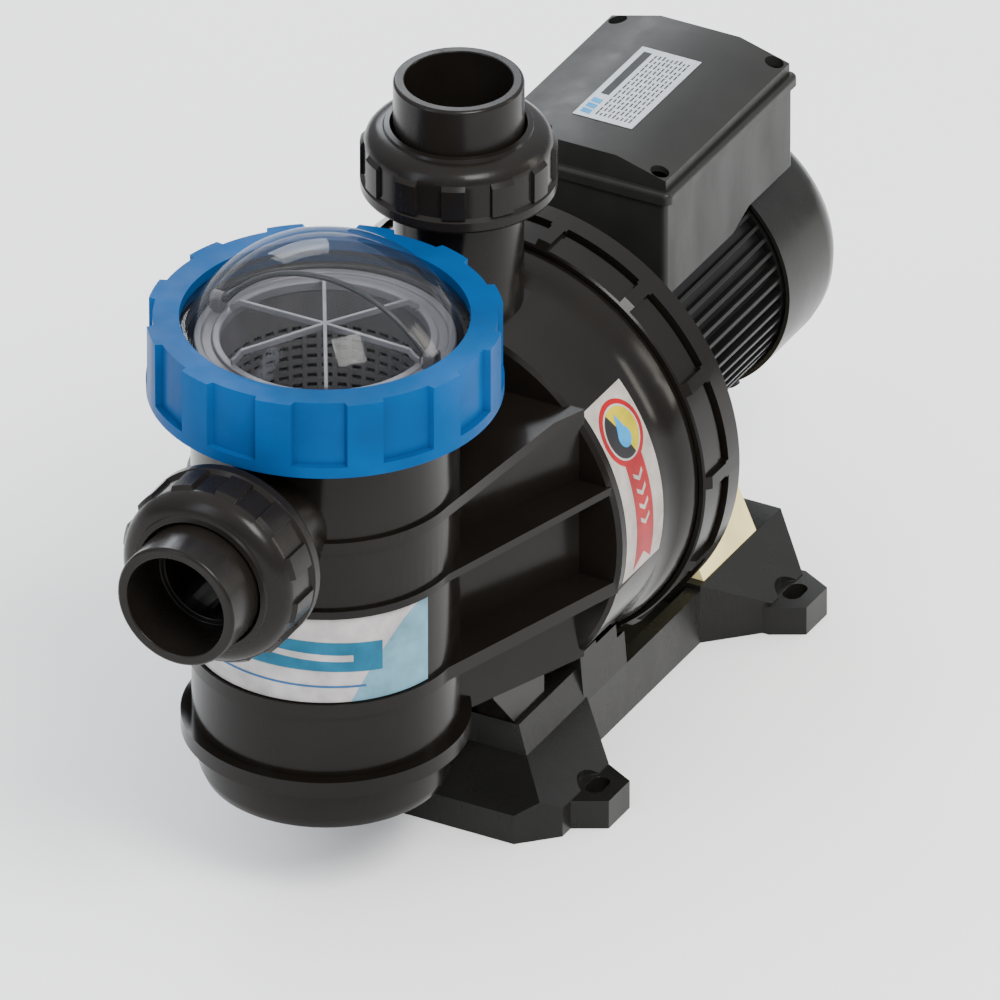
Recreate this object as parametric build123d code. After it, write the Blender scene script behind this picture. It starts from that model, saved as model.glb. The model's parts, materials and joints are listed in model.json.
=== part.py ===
from build123d import *

import os
from math import cos, radians, sin, sqrt

os.makedirs("parts", exist_ok=True)

# Self-priming pool pump with a strainer pot in front and an electric motor behind.
# X runs along the shaft from the suction side (-X) to the fan (+X), Z is up.
# The origin is the middle of the four base slots, on the floor plane. Millimetres.

# Main axes
POT_X = -188.0
SHAFT_Z = 136.0
SUCTION_Z = 208.6
DISCHARGE_X = -59.2

# Base
SLOT_SPACING_X = 194.6
SLOT_SPACING_Y = 185.2
SLOT_WIDTH = 9.1
SLOT_LENGTH = 14.6
EAR_HEIGHT = 14.7
EAR_REACH = 104.1
FOOT_HALF_WIDTH = 88.7
RAIL_HALF_WIDTH = 64.2
RAIL_INNER = 57.0
DECK_Z = 30.6
SKIRT_Z = 15.2
FRONT_FOOT = (-140.4, -54.2)
REAR_FOOT = (57.4, 136.9)
CRADLE_TOP_Z = 46.0
FRONT_CRADLE = (-113.0, -57.0)
SADDLE_X = (-57.0, -15.0)
FLOOR_PLATE_Z = (11.0, 17.0)

# Strainer pot
POT_R = 61.6
POT_LOW_R = 58.8
POT_BORE_R = 55.5
POT_BOTTOM_Z = 46.0
POT_FLOOR = 6.0
POT_SEAT_Z = 272.0
POT_RIM_Z = 274.0
POT_SEAT_R = 61.0
POT_COLLAR_R = 70.0
BANDS_Z = ((111.0, 118.0), (163.8, 167.8), (198.5, 204.3))
BAND_PROUD = 2.0

# Lid and lock ring
LID_FLANGE_Z = (277.0, 282.5)
LID_FLANGE_R = 71.4
DOME_R = 69.5
DOME_TOP_Z = 324.0
DOME_WALL = 3.0
RING_Z = (250.0, 288.0)
RING_LOBE_R = 81.8
RING_VALLEY_R = 78.6
RING_BORE_R = 72.0
RING_LIP_R = 66.5
RING_LOBES = 12
RING_LOBE_PHASE = 11.5

# Basket
BASKET_RIM_R = 60.0
BASKET_RIM_Z = (272.0, 277.0)
BASKET_TOP_R = 50.5
BASKET_LOW_R = 45.0
BASKET_FLOOR_Z = 88.0
BASKET_WALL = 2.2
HANDLE_Z = 281.5
HANDLE_WIRE_R = 1.4
HANDLE_REACH = 55.5
HANDLE_RISE = 26.0

# Pump body behind the pot
BELT_R = 98.5
BELT_X = (-84.0, -20.0)
BODY_REAR_X = -12.0
CASING_BORE_R = 92.0
CASING_FRONT_X = -80.0
EYE_R = 22.0
CLAMP_R = 109.4
CLAMP_VALLEY_R = 107.2
CLAMP_X = (-20.0, 11.6)
CLAMP_BARS = 14
CLAMP_BAR_PHASE = 24.3

# Pipe unions, measured from the foot of the nut
SOCKET_R = 25.0
SOCKET_DEPTH = 31.0
STUB_R = 30.2
UNION_NECK_R = 30.0
UNION_THREAD_R = 36.6
UNION_SEAT = 16.3
UNION_FLANGE = 6.0
UNION_LENGTH = 55.7
NUT_R = 45.4
NUT_VALLEY_R = 43.2
NUT_BORE_R = 37.0
NUT_CYLINDER = 24.0
NUT_LENGTH = 33.0
NUT_PADS = 12
SUCTION_NUT_X = -275.7
DISCHARGE_NUT_Z = 290.0

# Rotating parts and motor
SHAFT_R = 8.0
FRAME_R = 59.0
FRAME_ROOT_R = 54.5
FRAME_BORE_R = 51.0
FRAME_X = (24.0, 148.0)
FINS = 52
TIE_ROD_CIRCLE_R = 48.0
FAN_COVER_R = 62.0
FAN_COVER_X = (149.0, 204.0)

# Terminal box
BOX_X = (51.9, 180.6)
BOX_HALF = 47.5
BOX_LOW_Z = 183.0
BOX_RIM_Z = 232.0
BOX_SADDLE_R = 62.8
LID_HALF = 50.0
LID_RIM_Z = 239.0
LID_INSET = 3.4
LID_EAVE_Z = 244.4
LID_TOP_Z = 251.4
LID_FLAT_HALF = 20.8
BOX_WALL = 3.0

SECTION_PLANE = Plane(origin=(0, 0, 0), x_dir=(0, 1, 0), z_dir=(1, 0, 0))
SHAFT_PLANE = Plane(origin=(0, 0, SHAFT_Z), x_dir=(0, 1, 0), z_dir=(1, 0, 0))
SUCTION_PLANE = Plane(origin=(SUCTION_NUT_X, 0, SUCTION_Z), x_dir=(0, 0, 1), z_dir=(-1, 0, 0))
DISCHARGE_PLANE = Plane(origin=(DISCHARGE_X, 0, DISCHARGE_NUT_Z), z_dir=(0, 0, 1))


def save(name, shape):
    """Write one sub-part under its own name."""
    export_step(Compound(children=list(shape.solids())), f"parts/{name}.step")


def box(x, y, z):
    """Axis-aligned block between the given ends."""
    size = (x[1] - x[0], y[1] - y[0], z[1] - z[0])
    middle = ((x[0] + x[1]) / 2, (y[0] + y[1]) / 2, (z[0] + z[1]) / 2)
    return Pos(*middle) * Box(*size)


def rod(plane, radius, start, end):
    """Cylinder along the plane's normal between two heights above it."""
    low = Pos(0, 0, (start + end) / 2)
    return plane * low * Cylinder(radius, end - start)


def tube(plane, outer, inner, start, end):
    """Plain tube along the plane's normal."""
    return rod(plane, outer, start, end) - rod(plane, inner, start - 1, end + 1)


def turned(plane, points):
    """Solid of revolution about the plane's normal, from (radius, height) corners."""
    profile = Plane.XZ * make_face(Polyline(*points, close=True))
    return plane * revolve(profile, Axis.Z)


def prism(plane, points, start, end):
    """Polygon on the plane, extruded between two heights above it."""
    face = make_face(Polyline(*points, close=True))
    return plane * Pos(0, 0, start) * extrude(face, end - start)


def sector(plane, phase, width, radius, start, end):
    """Wedge about the plane's normal, centred on the phase angle."""
    half = radians(width / 2)
    turn = radians(phase)
    reach = radius / cos(half)
    corners = [(0, 0)]
    for side in (-half, half):
        corners.append((reach * cos(turn + side), reach * sin(turn + side)))
    return prism(plane, corners, start, end)


def pockets(plane, count, phase, width, inner, outer, start, end):
    """Ring of equal recesses to cut into a round part's rim."""
    wedges = [
        sector(plane, phase + k * 360 / count, width, outer + 5, start, end)
        for k in range(count)
    ]
    band = tube(plane, outer, inner, start, end)
    return [band & wedge for wedge in wedges]


def polar(plane, count, radius, phase):
    """Places on a circle about the plane's normal."""
    return [
        plane * Rot(0, 0, phase + k * 360 / count) * Pos(radius, 0, 0)
        for k in range(count)
    ]


def head_screw(length, shank_r, head_r, head):
    """Socket-head screw, its seat at zero and its shank downwards."""
    body = Pos(0, 0, head / 2) * Cylinder(head_r, head)
    body += Pos(0, 0, -length / 2) * Cylinder(shank_r, length)
    body -= Pos(0, 0, head) * extrude(RegularPolygon(shank_r * 0.75, 6), head * 1.2, both=True)
    return body


def pot_plane():
    return Plane(origin=(POT_X, 0, 0))


# ---------------------------------------------------------------- base


def foot_block(ends, sloped_front):
    """One foot: a wide skirt that rises in facets to the deck."""
    x0, x1 = ends
    rear_chamfer = FOOT_HALF_WIDTH - RAIL_HALF_WIDTH
    front_chamfer = 16.5 if sloped_front else rear_chamfer
    front_half = FOOT_HALF_WIDTH - front_chamfer
    plan = [
        (x0, -front_half),
        (x0 + front_chamfer, -FOOT_HALF_WIDTH),
        (x1 - rear_chamfer, -FOOT_HALF_WIDTH),
        (x1, -RAIL_HALF_WIDTH),
        (x1, RAIL_HALF_WIDTH),
        (x1 - rear_chamfer, FOOT_HALF_WIDTH),
        (x0 + front_chamfer, FOOT_HALF_WIDTH),
        (x0, front_half),
    ]
    across = [
        (-FOOT_HALF_WIDTH, 0),
        (FOOT_HALF_WIDTH, 0),
        (FOOT_HALF_WIDTH, SKIRT_Z),
        (RAIL_HALF_WIDTH, DECK_Z),
        (-RAIL_HALF_WIDTH, DECK_Z),
        (-FOOT_HALF_WIDTH, SKIRT_Z),
    ]
    block = prism(Plane.XY, plan, 0, DECK_Z)
    block &= prism(SECTION_PLANE, across, x0, x1)
    if sloped_front:
        along = [(x0, 0), (x1, 0), (x1, DECK_Z), (FRONT_CRADLE[0], DECK_Z), (x0, SKIRT_Z)]
        block &= prism(Plane.XZ, along, -FOOT_HALF_WIDTH, FOOT_HALF_WIDTH)
    return block


def foot_ear(x, side):
    """Slotted ear at the side of a foot."""
    root = (FOOT_HALF_WIDTH - 6) * side
    outline = [
        (x - 18.6, root),
        (x - 18.6, FOOT_HALF_WIDTH * side),
        (x - 10.3, EAR_REACH * side),
        (x + 10.3, EAR_REACH * side),
        (x + 18.6, FOOT_HALF_WIDTH * side),
        (x + 18.6, root),
    ]
    return prism(Plane.XY, outline, 0, EAR_HEIGHT)


def underside_cells(x_ends, rows, half_width, columns, top):
    """Blind cells moulded into the underside of a foot."""
    wall = 4.0
    dx = (x_ends[1] - x_ends[0] + wall) / rows
    dy = (2 * half_width + wall) / columns
    cells = []
    for i in range(rows):
        for j in range(columns):
            x = x_ends[0] + i * dx
            y = -half_width + j * dy
            cells.append(box((x, x + dx - wall), (y, y + dy - wall), (-1, top)))
    return cells


def base_support():
    base = foot_block(FRONT_FOOT, True) + foot_block(REAR_FOOT, False)
    for side in (-1, 1):
        rail = sorted((RAIL_INNER * side, RAIL_HALF_WIDTH * side))
        base += box((FRONT_FOOT[1] - 8, REAR_FOOT[0] + 8), rail, (0, 28))
        for x in (-SLOT_SPACING_X / 2, SLOT_SPACING_X / 2):
            base += foot_ear(x, side)
    base += box((FRONT_FOOT[1] - 8, REAR_FOOT[0] + 8), (-RAIL_INNER - 1, RAIL_INNER + 1), FLOOR_PLATE_Z)
    cradle = [(-RAIL_HALF_WIDTH, DECK_Z), (RAIL_HALF_WIDTH, DECK_Z), (60, CRADLE_TOP_Z), (-60, CRADLE_TOP_Z)]
    base += prism(SECTION_PLANE, cradle, *FRONT_CRADLE)
    half = RAIL_HALF_WIDTH
    saddle = [(-half, 16), (half, 16), (half, 28), (62, 54), (-62, 54), (-half, 28)]
    base += prism(SECTION_PLANE, saddle, *SADDLE_X)
    base -= rod(SHAFT_PLANE, BELT_R + 0.3, BELT_X[0] - 2.4, -41)
    base -= rod(SHAFT_PLANE, 104.4, -41.5, -21.5)
    base -= rod(SHAFT_PLANE, CLAMP_R + 1.2, -22, SADDLE_X[1] + 1)
    for x in (-SLOT_SPACING_X / 2, SLOT_SPACING_X / 2):
        for y in (-SLOT_SPACING_Y / 2, SLOT_SPACING_Y / 2):
            base -= Pos(x, y, 0) * extrude(SlotOverall(SLOT_LENGTH, SLOT_WIDTH), EAR_HEIGHT * 3, both=True)
            base -= Pos(x, y, EAR_HEIGHT + 20) * Cylinder(9.5, 40)
    cells = underside_cells((-124.0, -60.0), 2, 56.0, 3, 24.0)
    cells += underside_cells((64.0, 130.0), 2, 56.0, 3, 26.0)
    for cell in cells:
        base -= cell
    for place in base_screw_places():
        base -= place * Cylinder(3.05, 60)
    return base


def base_screw_places():
    """The two screws that hold the pump body on its base, put in from below."""
    return [Pos(-107.0, y, CRADLE_TOP_Z) for y in (-48.0, 48.0)]


def motor_pedestal():
    """Block on the rear foot that carries the motor frame."""
    top = 90.0
    slope = 9.0 / 20.4
    lean = (top - DECK_Z) * slope
    outline = [(-63.5, DECK_Z), (63.5, DECK_Z), (63.5 - lean, top), (-63.5 + lean, top)]
    block = prism(SECTION_PLANE, outline, 62, 114)
    block -= rod(SHAFT_PLANE, FRAME_R, 60, 116)
    for x in (68, 90):
        for y in (-42, -13, 16):
            block -= box((x, x + 18), (y, y + 26), (DECK_Z - 1, 66))
    return block


# ---------------------------------------------------------------- pump body


def pot_outside():
    """Outer shape of the strainer pot with its flange, bands and threaded collar."""
    corners = [
        (0, POT_BOTTOM_Z),
        (POT_LOW_R - 8, POT_BOTTOM_Z),
        (POT_LOW_R - 2.4, POT_BOTTOM_Z + 2.4),
        (POT_LOW_R, POT_BOTTOM_Z + 8),
        (POT_LOW_R, 70.6),
        (66.8, 70.6),
        (66.8, 78.6),
        (POT_R, 78.6),
    ]
    for low, high in BANDS_Z:
        corners += [(POT_R, low), (POT_R + BAND_PROUD, low), (POT_R + BAND_PROUD, high), (POT_R, high)]
    corners += [(POT_R, 238), (66, 246), (POT_COLLAR_R, 248), (POT_COLLAR_R, POT_RIM_Z), (0, POT_RIM_Z)]
    return turned(pot_plane(), corners)


def pot_cavity():
    floor = POT_BOTTOM_Z + POT_FLOOR
    corners = [
        (0, floor),
        (POT_BORE_R - 5, floor),
        (POT_BORE_R, floor + 5),
        (POT_BORE_R, POT_SEAT_Z),
        (POT_SEAT_R, POT_SEAT_Z),
        (POT_SEAT_R, POT_RIM_Z + 5),
        (0, POT_RIM_Z + 5),
    ]
    return turned(pot_plane(), corners)


def side_webs():
    """Level webs that run from the pot's bands back to the casing."""
    webs = []
    reach = BELT_X[0] + 1
    for low, high in BANDS_Z:
        height = (low + high) / 2 - SHAFT_Z
        outer = sqrt((BELT_R - 0.5) ** 2 - height**2)
        pot = POT_R + BAND_PROUD
        plan = [(POT_X, -pot), (reach, -outer), (reach, outer), (POT_X, pot)]
        webs.append(prism(Plane.XY, plan, low, high))
    return webs


def side_walls():
    """Upright walls set back between the level webs."""
    walls = []
    for side in (-1, 1):
        plan = [
            (POT_X + 20, 46 * side),
            (BELT_X[0] + 1, 78 * side),
            (BELT_X[0] + 1, 73 * side),
            (POT_X + 20, 41 * side),
        ]
        walls.append(prism(Plane.XY, plan, 72, BANDS_Z[2][1]))
    return walls


def casing_outside():
    """Round casing behind the pot: front cone, belt and rear rim."""
    corners = [
        (0, -128),
        (34, -128),
        (40, -120),
        (72, BELT_X[0] - 2),
        (BELT_R - 2, BELT_X[0] - 2),
        (BELT_R, BELT_X[0]),
        (BELT_R, -40),
        (103.6, -24),
        (103.6, BODY_REAR_X),
        (0, BODY_REAR_X),
    ]
    return turned(SHAFT_PLANE, corners)


def body_foot():
    """Lower block of the body that stands on the base cradle."""
    section = [(-112.5, CRADLE_TOP_Z), (-84.5, CRADLE_TOP_Z), (-84.5, 80), (-134, 80), (-134, 70.6)]
    return prism(Plane.XZ, section, -58, 58)


def union_neck(plane, root):
    """Body half of a union: plain neck and threaded end."""
    neck = rod(plane, UNION_NECK_R, -root, UNION_SEAT - 1)
    neck += rod(plane, UNION_THREAD_R, 1.5, UNION_SEAT)
    return neck


def union_groove(plane):
    return tube(plane, 31.6, 27.6, UNION_SEAT - 2.2, UNION_SEAT + 1)


def pump_body():
    body = pot_outside() + casing_outside()
    for piece in side_webs() + side_walls() + [body_foot()]:
        body += piece
    body += union_neck(SUCTION_PLANE, SUCTION_NUT_X * -1 + POT_X - 20)
    body += union_neck(DISCHARGE_PLANE, DISCHARGE_NUT_Z - SHAFT_Z - 70)
    body += rod(drain_plane(), 13, -12, 0.6)
    for side in (-1, 1):
        y = sorted((6 * side, 40 * side))
        body -= box((-122, -92), y, (CRADLE_TOP_Z - 1, 108)) - rod(SHAFT_PLANE, EYE_R + 8, -130, -80)
    body -= pot_cavity()
    body -= rod(SHAFT_PLANE, CASING_BORE_R, CASING_FRONT_X, 0)
    body -= rod(SHAFT_PLANE, EYE_R, POT_X + 30, -70)
    body -= rod(SUCTION_PLANE, SOCKET_R - 1, -60, 30)
    body -= rod(DISCHARGE_PLANE, SOCKET_R - 1, -80, 30)
    body -= union_groove(SUCTION_PLANE)
    body -= union_groove(DISCHARGE_PLANE)
    body -= rod(drain_plane(), 8.3, -20, 12)
    body -= casing_o_ring()
    for place in base_screw_places():
        body -= place * Pos(0, 0, 6) * Cylinder(3.05, 24)
    return body


def body_base_screws():
    screw = Rot(180, 0, 0) * Pos(0, 0, 22) * head_screw(34, 3.0, 5.4, 4)
    screws = [place * screw for place in base_screw_places()]
    return Compound(children=screws)


def clamp_ring():
    """Ring that clamps the seal plate onto the casing: cross bars in front, slots behind, thin rear rim."""
    front, rear = CLAMP_X
    bore = 104.2
    corners = [
        (bore, front),
        (CLAMP_VALLEY_R - 0.8, front),
        (CLAMP_R, front + 3.6),
        (CLAMP_R, rear - 1.5),
        (CLAMP_R - 1.5, rear),
        (98, rear),
        (98, -1.5),
        (bore, -1.5),
    ]
    ring = turned(SHAFT_PLANE, corners)
    step = 360 / CLAMP_BARS
    between = CLAMP_BAR_PHASE + step / 2
    bar = 3.4
    outer = CLAMP_R + 3
    floor = CLAMP_VALLEY_R - 2.2
    flats = pockets(SHAFT_PLANE, CLAMP_BARS, between, step - bar, CLAMP_VALLEY_R, outer, front - 1, -3)
    slots = pockets(SHAFT_PLANE, CLAMP_BARS, between, step - bar - 1, floor, outer, -3.4, -0.6)
    for cut in flats + slots:
        ring -= cut
    return ring


def casing_o_ring():
    ring = tube(SHAFT_PLANE, 97.0, 93.4, BODY_REAR_X - 2.4, BODY_REAR_X)
    return ring


def seal_plate():
    """Disc behind the impeller that carries the fixed seal ring."""
    corners = [
        (16, -26),
        (28, -26),
        (31, BODY_REAR_X),
        (103.9, BODY_REAR_X),
        (103.9, -2),
        (60, -2),
        (60, -1),
        (11, -1),
        (11, -14),
        (16, -14),
    ]
    return turned(SHAFT_PLANE, corners)


def diffuser():
    """Stationary guide around the impeller with its inlet snout."""
    corners = [
        (EYE_R - 3, -92),
        (EYE_R - 0.1, -92),
        (EYE_R - 0.1, -78),
        (88, -78),
        (88, -34),
        (66, -34),
        (66, -74),
        (EYE_R - 3, -74),
    ]
    guide = turned(SHAFT_PLANE, corners)
    for k in range(8):
        port = sector(SHAFT_PLANE, k * 45, 24, 95, -64, -46)
        guide -= port - rod(SHAFT_PLANE, 60, -65, -45)
    return guide


def impeller():
    """Closed impeller: two shrouds, hub and six curved vanes."""
    wheel = rod(SHAFT_PLANE, 58, -48, -44) - rod(SHAFT_PLANE, SHAFT_R, -60, -30)
    wheel += tube(SHAFT_PLANE, 58, 17, -68, -65)
    wheel += tube(SHAFT_PLANE, 17.2, 14.5, -72.5, -65)
    wheel += tube(SHAFT_PLANE, 13, SHAFT_R, -62, -42)
    for k in range(6):
        vane = Rot(0, 0, k * 60) * Pos(0, 0, -65.5) * extrude(impeller_vane(), 18)
        wheel += (SHAFT_PLANE * vane) & rod(SHAFT_PLANE, 58, -66, -44)
    return wheel


def impeller_vane():
    """Backward-swept vane section."""
    centre_line = Spline((15, 0), (34, 9), (56, 32))
    return make_face(
        [
            centre_line,
            Line((56, 32), (54.5, 34.5)),
            Spline((54.5, 34.5), (32.5, 11.5), (14.5, 2.6)),
            Line((14.5, 2.6), (15, 0)),
        ]
    )


def impeller_nut():
    nut = SHAFT_PLANE * Pos(0, 0, -70) * extrude(RegularPolygon(9, 6), 8)
    return nut - rod(SHAFT_PLANE, 5, -75, -60)


def seal_seat():
    return tube(SHAFT_PLANE, 16, 9.2, -25.5, -19.5)


def seal_head():
    return tube(SHAFT_PLANE, 14, SHAFT_R, -33, -25.6)


def seal_spring():
    """Conical coil spring between the impeller hub and the seal head."""
    coil = Helix(pitch=2.4, height=7.2, radius=10.6)
    wire = coil.position_at(0)
    section = Plane(origin=wire, z_dir=coil.tangent_at(0)) * Circle(0.75)
    return SHAFT_PLANE * Pos(0, 0, -41.1) * sweep(section, path=coil, is_frenet=True)


# ---------------------------------------------------------------- lid and basket


def lid_dome():
    """Clear lid: flat flange and a shallow spherical dome."""
    centre = DOME_TOP_Z - DOME_R
    low, high = LID_FLANGE_Z
    inner = DOME_R - DOME_WALL
    outer_foot = sqrt(DOME_R**2 - (high - centre) ** 2)
    inner_foot = sqrt(inner**2 - (low - centre) ** 2)
    lean = sin(radians(45))
    outline = [
        Line((LID_FLANGE_R, low), (LID_FLANGE_R, high)),
        Line((LID_FLANGE_R, high), (outer_foot, high)),
        ThreePointArc((outer_foot, high), (DOME_R * lean, centre + DOME_R * lean), (0, DOME_TOP_Z)),
        Line((0, DOME_TOP_Z), (0, DOME_TOP_Z - DOME_WALL)),
        ThreePointArc((0, centre + inner), (inner * lean, centre + inner * lean), (inner_foot, low)),
        Line((inner_foot, low), (LID_FLANGE_R, low)),
    ]
    return pot_plane() * revolve(Plane.XZ * make_face(outline), Axis.Z)


def lid_o_ring():
    ring = tube(pot_plane(), 67.6, 63.4, POT_RIM_Z, LID_FLANGE_Z[0])
    return fillet(ring.edges(), 1.1)


def lock_ring():
    """Ring nut with twelve grip lobes that clamps the lid on the pot."""
    low, high = RING_Z
    corners = [
        (RING_BORE_R, low),
        (RING_LOBE_R - 1.6, low),
        (RING_LOBE_R, low + 1.6),
        (RING_LOBE_R, high - 1.6),
        (RING_LOBE_R - 1.6, high),
        (RING_LIP_R + 1.5, high),
        (RING_LIP_R, high - 1.5),
        (RING_LIP_R, LID_FLANGE_Z[1] + 0.3),
        (RING_BORE_R, LID_FLANGE_Z[1] + 0.3),
    ]
    ring = turned(pot_plane(), corners)
    phase = RING_LOBE_PHASE + 180 / RING_LOBES
    cuts = pockets(pot_plane(), RING_LOBES, phase, 17.5, RING_VALLEY_R, RING_LOBE_R + 4, low + 5.5, high + 1)
    for cut in cuts:
        ring -= cut
    return ring


def strainer_basket():
    """Tapered basket with a flat rim, a six-spoke top, side slots and an inlet window."""
    low, high = BASKET_RIM_Z
    floor = BASKET_FLOOR_Z
    corners = [
        (0, floor),
        (BASKET_LOW_R, floor),
        (BASKET_TOP_R, low),
        (BASKET_RIM_R, low),
        (BASKET_RIM_R, high),
        (BASKET_TOP_R - BASKET_WALL, high),
        (BASKET_LOW_R - BASKET_WALL, floor + BASKET_WALL),
        (0, floor + BASKET_WALL),
    ]
    basket = turned(pot_plane(), corners)
    for k in range(3):
        spoke = box((-49.5, 49.5), (-0.9, 0.9), (high - 2.5, high + 1.0))
        basket += Pos(POT_X, 0, 0) * Rot(0, 0, 29 + 60 * k) * spoke
    for side in (-1, 1):
        ear = sorted((52.5 * side, 58.0 * side))
        basket += Pos(POT_X, 0, 0) * box((-3.5, 3.5), ear, (high - 0.5, HANDLE_Z + 3.0))
    pin = Plane(origin=(POT_X, 0, HANDLE_Z), x_dir=(1, 0, 0), z_dir=(0, 1, 0))
    basket -= rod(pin, HANDLE_WIRE_R + 0.15, -70, 70)
    inlet = Plane(origin=(POT_X, 0, SUCTION_Z), x_dir=(0, 0, 1), z_dir=(-1, 0, 0))
    basket -= rod(inlet, 21, 30, 60)
    for k in range(12):
        slot = sector(pot_plane(), 15 + 30 * k, 9, 60, 0, 10)
        for z in (104, 128, 152, 176, 200, 224):
            if abs(15 + 30 * k - 180) > 40 or z < 170:
                basket -= Pos(0, 0, z) * (slot - rod(pot_plane(), 40, -1, 11))
    return basket


def basket_handle():
    """Wire bail whose ends turn outwards into the ears on the basket rim."""
    foot = HANDLE_REACH - 4.5
    arc = ThreePointArc((0, -foot, HANDLE_Z), (0, 0, HANDLE_Z + HANDLE_RISE), (0, foot, HANDLE_Z))
    start = Plane(origin=arc @ 0, z_dir=arc % 0)
    bail = sweep(start * Circle(HANDLE_WIRE_R), path=arc)
    pin = Plane(origin=(0, 0, HANDLE_Z), x_dir=(1, 0, 0), z_dir=(0, 1, 0))
    for side in (-1, 1):
        bail += Pos(0, foot * side, HANDLE_Z) * Sphere(HANDLE_WIRE_R)
        ends = sorted((foot * side, 58.0 * side))
        bail += rod(pin, HANDLE_WIRE_R, *ends)
    return Pos(POT_X, 0, 0) * bail


# ---------------------------------------------------------------- unions and drain


def union_tailpiece(plane):
    """Pipe half of a union: flange, stub and the solvent socket."""
    end = UNION_LENGTH
    corners = [
        (22, UNION_SEAT),
        (UNION_THREAD_R - 0.2, UNION_SEAT),
        (UNION_THREAD_R - 0.2, UNION_SEAT + UNION_FLANGE),
        (STUB_R, UNION_SEAT + UNION_FLANGE),
        (STUB_R, end - 1),
        (STUB_R - 1, end),
        (SOCKET_R, end),
        (SOCKET_R, end - SOCKET_DEPTH),
        (22, end - SOCKET_DEPTH),
    ]
    return turned(plane, corners)


def union_nut(plane, phase):
    """Union nut with twelve grip pads and a rounded shoulder."""
    shoulder = UNION_SEAT + UNION_FLANGE + 0.2
    corners = [
        (NUT_BORE_R, 0),
        (NUT_R - 1, 0),
        (NUT_R, 1),
        (NUT_R, NUT_CYLINDER - 1),
        (NUT_R - 1, NUT_CYLINDER),
        (NUT_R - 2.6, NUT_CYLINDER + 3.4),
        (NUT_R - 6, NUT_CYLINDER + 6.4),
        (NUT_R - 10.5, NUT_LENGTH),
        (STUB_R + 0.6, NUT_LENGTH),
        (STUB_R + 0.6, shoulder),
        (NUT_BORE_R, shoulder),
    ]
    nut = turned(plane, corners)
    cuts = pockets(plane, NUT_PADS, phase, 14.5, NUT_VALLEY_R, NUT_R + 2, 7, NUT_CYLINDER + 4)
    for cut in cuts:
        nut -= cut
    return nut


def union_o_ring(plane):
    return tube(plane, 31.6, 27.6, UNION_SEAT - 2.2, UNION_SEAT)


def drain_plane():
    """Drain boss low on the far side of the pot, facing +Y."""
    return Plane(origin=(POT_X, POT_R, 96), x_dir=(1, 0, 0), z_dir=(0, 1, 0))


def drain_plug():
    plane = drain_plane()
    plug = rod(plane, 8.0, -7, 1)
    plug += rod(plane, 12.0, 2.6, 6.0)
    plug += rod(plane, 8.0, 0, 3)
    plug += plane * Pos(0, 0, 6) * extrude(RegularPolygon(8.5, 6), 7)
    return plug


def drain_o_ring():
    return tube(drain_plane(), 11.0, 8.3, 0.6, 2.6)


# ---------------------------------------------------------------- motor


def motor_shaft():
    shaft = rod(SHAFT_PLANE, SHAFT_R, -62, 178)
    shaft += rod(SHAFT_PLANE, 5, -72, -61)
    shaft += rod(SHAFT_PLANE, 9.5, 36, 140)
    return shaft


def rotor_core():
    return tube(SHAFT_PLANE, 29.5, 9.5, 46, 112)


def stator_core():
    core = tube(SHAFT_PLANE, FRAME_BORE_R, 30, 44, 114)
    for place in polar(SHAFT_PLANE, 24, 36, 0):
        core -= place * Pos(0, 0, 79) * Box(10, 3.2, 80)
    for place in polar(SHAFT_PLANE, 4, TIE_ROD_CIRCLE_R, 45):
        core -= place * Pos(0, 0, 79) * Cylinder(2.0, 80)
    return core


def stator_windings():
    return tube(SHAFT_PLANE, 45.8, 32, 30, 43.8) + tube(SHAFT_PLANE, 45.8, 32, 114.2, 128)


def bearing(x0, x1):
    """Deep-groove ball bearing for a 16 mm shaft, outer 35 mm."""
    races = tube(SHAFT_PLANE, 17.5, 14.6, x0, x1) + tube(SHAFT_PLANE, 10.9, SHAFT_R + 0.05, x0, x1)
    middle = (x0 + x1) / 2
    balls = [place * Pos(0, 0, middle) * Sphere(2.3) for place in polar(SHAFT_PLANE, 8, 12.75, 0)]
    shield = tube(SHAFT_PLANE, 14.6, 10.9, x0 + 0.4, x0 + 1.0)
    return Compound(children=list(races.solids()) + list(shield.solids()) + balls)


def motor_frame():
    """Finned aluminium tube around the stator with the pad for the terminal box."""
    x0, x1 = FRAME_X
    frame = tube(SHAFT_PLANE, FRAME_ROOT_R, FRAME_BORE_R, x0, x1)
    fin = Pos(0, 0, (x0 + x1) / 2) * Box(6.4, 2.0, x1 - x0)
    fins = [place * fin for place in polar(SHAFT_PLANE, FINS, 55.6, 3.46)]
    frame = frame.fuse(*fins)
    pad = box((72, 122), (-22, 22), (SHAFT_Z + 40, SHAFT_Z + 63)) & rod(SHAFT_PLANE, BOX_SADDLE_R, 60, 130)
    frame += pad - rod(SHAFT_PLANE, FRAME_BORE_R, 60, 130)
    frame -= box((90, 104), (-7, 7), (SHAFT_Z + 40, SHAFT_Z + 70))
    return frame & rod(SHAFT_PLANE, BOX_SADDLE_R, x0, x1)


def front_endshield():
    """Bracket between the seal plate and the motor frame, with the front bearing seat."""
    corners = [
        (60, -1),
        (60, 3),
        (52, 10),
        (52, 20),
        (58.5, 20),
        (58.5, 24),
        (20.5, 24),
        (20.5, 28),
        (17.5, 28),
        (17.5, 15),
        (10, 15),
        (10, 12),
        (40, 12),
        (44, -1),
    ]
    shield = turned(SHAFT_PLANE, corners)
    for place in polar(SHAFT_PLANE, 4, TIE_ROD_CIRCLE_R, 45):
        shield -= place * Pos(0, 0, 22) * Cylinder(1.95, 8)
    return shield


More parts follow.
